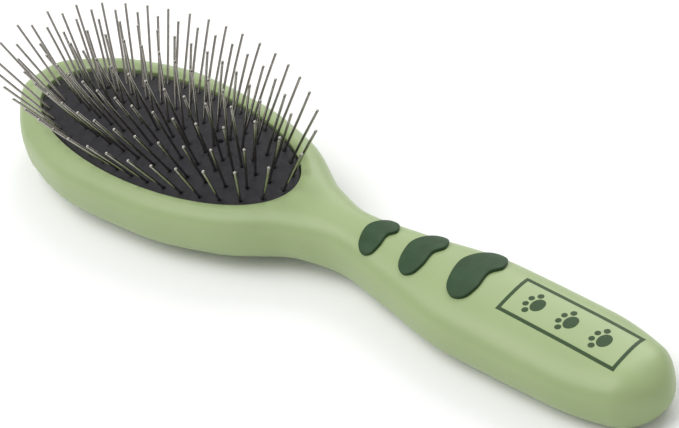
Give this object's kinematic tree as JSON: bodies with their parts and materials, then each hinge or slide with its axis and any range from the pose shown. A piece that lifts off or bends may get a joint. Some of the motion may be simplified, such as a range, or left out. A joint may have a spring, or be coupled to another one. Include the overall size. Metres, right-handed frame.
{
  "type": "pin brush",
  "caption": "Wire-pin grooming brush: ball-tipped steel pins stand in a domed rubber cushion set in an oval head, with a rounded handle and soft grip inserts.",
  "frame": {"origin": "middle of the brush's plan on the surface it lies on, back down", "axes": "+X along the handle away from the head, +Y sideways, +Z the way the pins point"},
  "size_m": [0.2266, 0.056, 0.0404],
  "materials": {
    "body_plastic": "satin moulded plastic, light sage green",
    "grip_rubber": "soft moulded rubber, dark green",
    "cushion_rubber": "matt black rubber",
    "backing_cloth": "woven cotton backing",
    "pin_steel": "polished nickel-plated steel wire"
  },
  "bodies": {
    "handle": {"front_shell": "body_plastic", "back_shell": "body_plastic", "grip_insert_front": "grip_rubber", "grip_insert_middle": "grip_rubber", "grip_insert_rear": "grip_rubber", "cushion": "cushion_rubber"},
    "cushion_back": {"backing_cloth": "backing_cloth"},
    "pin_row_01": {"pin_row_01": "pin_steel"},
    "pin_row_02": {"pin_row_02": "pin_steel"},
    "pin_row_03": {"pin_row_03": "pin_steel"},
    "pin_row_04": {"pin_row_04": "pin_steel"},
    "pin_row_05": {"pin_row_05": "pin_steel"},
    "pin_row_06": {"pin_row_06": "pin_steel"},
    "pin_row_07": {"pin_row_07": "pin_steel"},
    "pin_row_08": {"pin_row_08": "pin_steel"},
    "pin_row_09": {"pin_row_09": "pin_steel"},
    "pin_row_10": {"pin_row_10": "pin_steel"},
    "pin_row_11": {"pin_row_11": "pin_steel"},
    "pin_row_12": {"pin_row_12": "pin_steel"},
    "pin_row_13": {"pin_row_13": "pin_steel"},
    "pin_row_14": {"pin_row_14": "pin_steel"},
    "pin_row_15": {"pin_row_15": "pin_steel"},
    "pin_row_16": {"pin_row_16": "pin_steel"},
    "pin_row_17": {"pin_row_17": "pin_steel"}
  },
  "joints": [
    {"name": "cushion_press", "type": "slide", "parent": "handle", "child": "cushion_back", "axis": [0, 0, -1], "range_m": [0, 0.0015], "stiffness_N_per_m": 3500, "deforming": ["cushion", "backing_cloth"]},
    {"name": "pin_row_01_tilt", "type": "hinge", "parent": "cushion_back", "child": "pin_row_01", "pos_m": [-0.0998, 0, 0.01593], "axis": [0, 1, 0], "range_deg": [-8, 8], "stiffness_Nm_per_rad": 0.03},
    {"name": "pin_row_02_tilt", "type": "hinge", "parent": "cushion_back", "child": "pin_row_02", "pos_m": [-0.09409, 0, 0.01655], "axis": [0, 1, 0], "range_deg": [-8, 8], "stiffness_Nm_per_rad": 0.05},
    {"name": "pin_row_03_tilt", "type": "hinge", "parent": "cushion_back", "child": "pin_row_03", "pos_m": [-0.08837, 0, 0.01686], "axis": [0, 1, 0], "range_deg": [-8, 8], "stiffness_Nm_per_rad": 0.05},
    {"name": "pin_row_04_tilt", "type": "hinge", "parent": "cushion_back", "child": "pin_row_04", "pos_m": [-0.08266, 0, 0.01753], "axis": [0, 1, 0], "range_deg": [-8, 8], "stiffness_Nm_per_rad": 0.09},
    {"name": "pin_row_05_tilt", "type": "hinge", "parent": "cushion_back", "child": "pin_row_05", "pos_m": [-0.07695, 0, 0.01783], "axis": [0, 1, 0], "range_deg": [-8, 8], "stiffness_Nm_per_rad": 0.08},
    {"name": "pin_row_06_tilt", "type": "hinge", "parent": "cushion_back", "child": "pin_row_06", "pos_m": [-0.07124, 0, 0.01806], "axis": [0, 1, 0], "range_deg": [-8, 8], "stiffness_Nm_per_rad": 0.08},
    {"name": "pin_row_07_tilt", "type": "hinge", "parent": "cushion_back", "child": "pin_row_07", "pos_m": [-0.06552, 0, 0.01822], "axis": [0, 1, 0], "range_deg": [-8, 8], "stiffness_Nm_per_rad": 0.08},
    {"name": "pin_row_08_tilt", "type": "hinge", "parent": "cushion_back", "child": "pin_row_08", "pos_m": [-0.05981, 0, 0.01831], "axis": [0, 1, 0], "range_deg": [-8, 8], "stiffness_Nm_per_rad": 0.08},
    {"name": "pin_row_09_tilt", "type": "hinge", "parent": "cushion_back", "child": "pin_row_09", "pos_m": [-0.0541, 0, 0.01805], "axis": [0, 1, 0], "range_deg": [-8, 8], "stiffness_Nm_per_rad": 0.04},
    {"name": "pin_row_10_tilt", "type": "hinge", "parent": "cushion_back", "child": "pin_row_10", "pos_m": [-0.04839, 0, 0.01831], "axis": [0, 1, 0], "range_deg": [-8, 8], "stiffness_Nm_per_rad": 0.08},
    {"name": "pin_row_11_tilt", "type": "hinge", "parent": "cushion_back", "child": "pin_row_11", "pos_m": [-0.04267, 0, 0.01822], "axis": [0, 1, 0], "range_deg": [-8, 8], "stiffness_Nm_per_rad": 0.08},
    {"name": "pin_row_12_tilt", "type": "hinge", "parent": "cushion_back", "child": "pin_row_12", "pos_m": [-0.03696, 0, 0.01806], "axis": [0, 1, 0], "range_deg": [-8, 8], "stiffness_Nm_per_rad": 0.08},
    {"name": "pin_row_13_tilt", "type": "hinge", "parent": "cushion_back", "child": "pin_row_13", "pos_m": [-0.03125, 0, 0.01783], "axis": [0, 1, 0], "range_deg": [-8, 8], "stiffness_Nm_per_rad": 0.08},
    {"name": "pin_row_14_tilt", "type": "hinge", "parent": "cushion_back", "child": "pin_row_14", "pos_m": [-0.02554, 0, 0.01753], "axis": [0, 1, 0], "range_deg": [-8, 8], "stiffness_Nm_per_rad": 0.09},
    {"name": "pin_row_15_tilt", "type": "hinge", "parent": "cushion_back", "child": "pin_row_15", "pos_m": [-0.01982, 0, 0.01686], "axis": [0, 1, 0], "range_deg": [-8, 8], "stiffness_Nm_per_rad": 0.05},
    {"name": "pin_row_16_tilt", "type": "hinge", "parent": "cushion_back", "child": "pin_row_16", "pos_m": [-0.01411, 0, 0.01655], "axis": [0, 1, 0], "range_deg": [-8, 8], "stiffness_Nm_per_rad": 0.05},
    {"name": "pin_row_17_tilt", "type": "hinge", "parent": "cushion_back", "child": "pin_row_17", "pos_m": [-0.0084, 0, 0.01593], "axis": [0, 1, 0], "range_deg": [-8, 2], "stiffness_Nm_per_rad": 0.03}
  ]
}
